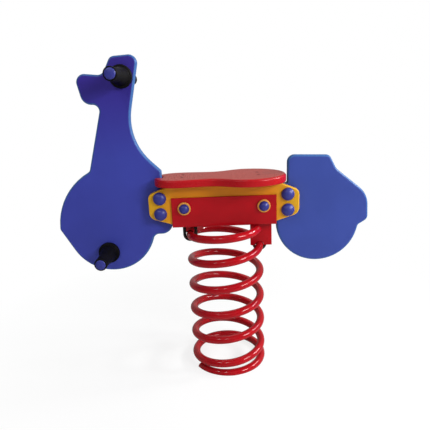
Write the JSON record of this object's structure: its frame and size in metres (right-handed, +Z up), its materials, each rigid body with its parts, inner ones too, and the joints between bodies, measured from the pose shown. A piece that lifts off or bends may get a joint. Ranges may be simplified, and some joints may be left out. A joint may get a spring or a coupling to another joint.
{
  "type": "spring rider",
  "caption": "Scooter-shaped spring rider: upright panels bolted between rails under a flat seat, on a steel channel clamped to a coil spring, so that it rocks fore and aft.",
  "frame": {"origin": "on the ground, on the axis of the coil spring, under its foot coil", "axes": "+Z up, -X to the front of the scooter, so the rider faces -X; -Y is the rider's left side"},
  "size_m": [0.7954, 0.246, 0.8066],
  "materials": {
    "red_paint": "gloss",
    "zinc_steel": "zinc plated",
    "yellow_sheet": "satin",
    "blue_sheet": "fine-textured satin",
    "red_sheet": "satin, chalky on top",
    "yellow_moulding": "gloss",
    "blue_moulding": "satin",
    "black_rubber": "matt"
  },
  "bodies": {
    "spring": {"spring": "red_paint"},
    "rider": {"spring_head": "red_paint", "front_saddle": "red_paint", "drop_bracket": "red_paint", "front_u_bolt": "zinc_steel", "rear_u_bolt": "zinc_steel", "u_bolt_washers": "zinc_steel", "u_bolt_nuts": "zinc_steel", "rail_left": "yellow_sheet", "rail_right": "yellow_sheet", "cheek_sleeves": "zinc_steel", "cheek_bolts": "zinc_steel", "cheek_washers": "yellow_moulding", "cheek_nuts": "zinc_steel", "cheek_caps": "blue_moulding", "front_panel": "blue_sheet", "rear_panel": "blue_sheet", "panel_bolts": "zinc_steel", "panel_washers": "zinc_steel", "panel_nuts": "zinc_steel", "panel_domes": "blue_moulding", "seat": "red_sheet", "seat_screws": "zinc_steel", "handle_rod": "zinc_steel", "handle_grip_left": "black_rubber", "handle_grip_right": "black_rubber", "handle_washers": "zinc_steel", "handle_nuts": "zinc_steel", "handle_tip_caps": "blue_moulding", "foot_rod": "zinc_steel", "foot_peg_left": "black_rubber", "foot_peg_right": "black_rubber", "foot_washers": "zinc_steel", "foot_nuts": "zinc_steel", "foot_tip_caps": "blue_moulding"}
  },
  "joints": [
    {"name": "rock", "type": "hinge", "parent": "spring", "child": "rider", "pos_m": [0, 0, 0.19], "axis": [0, 1, 0], "range_deg": [-20, 20], "stiffness_Nm_per_rad": 500, "springref_deg": 0.52, "deforming": ["spring"]}
  ]
}
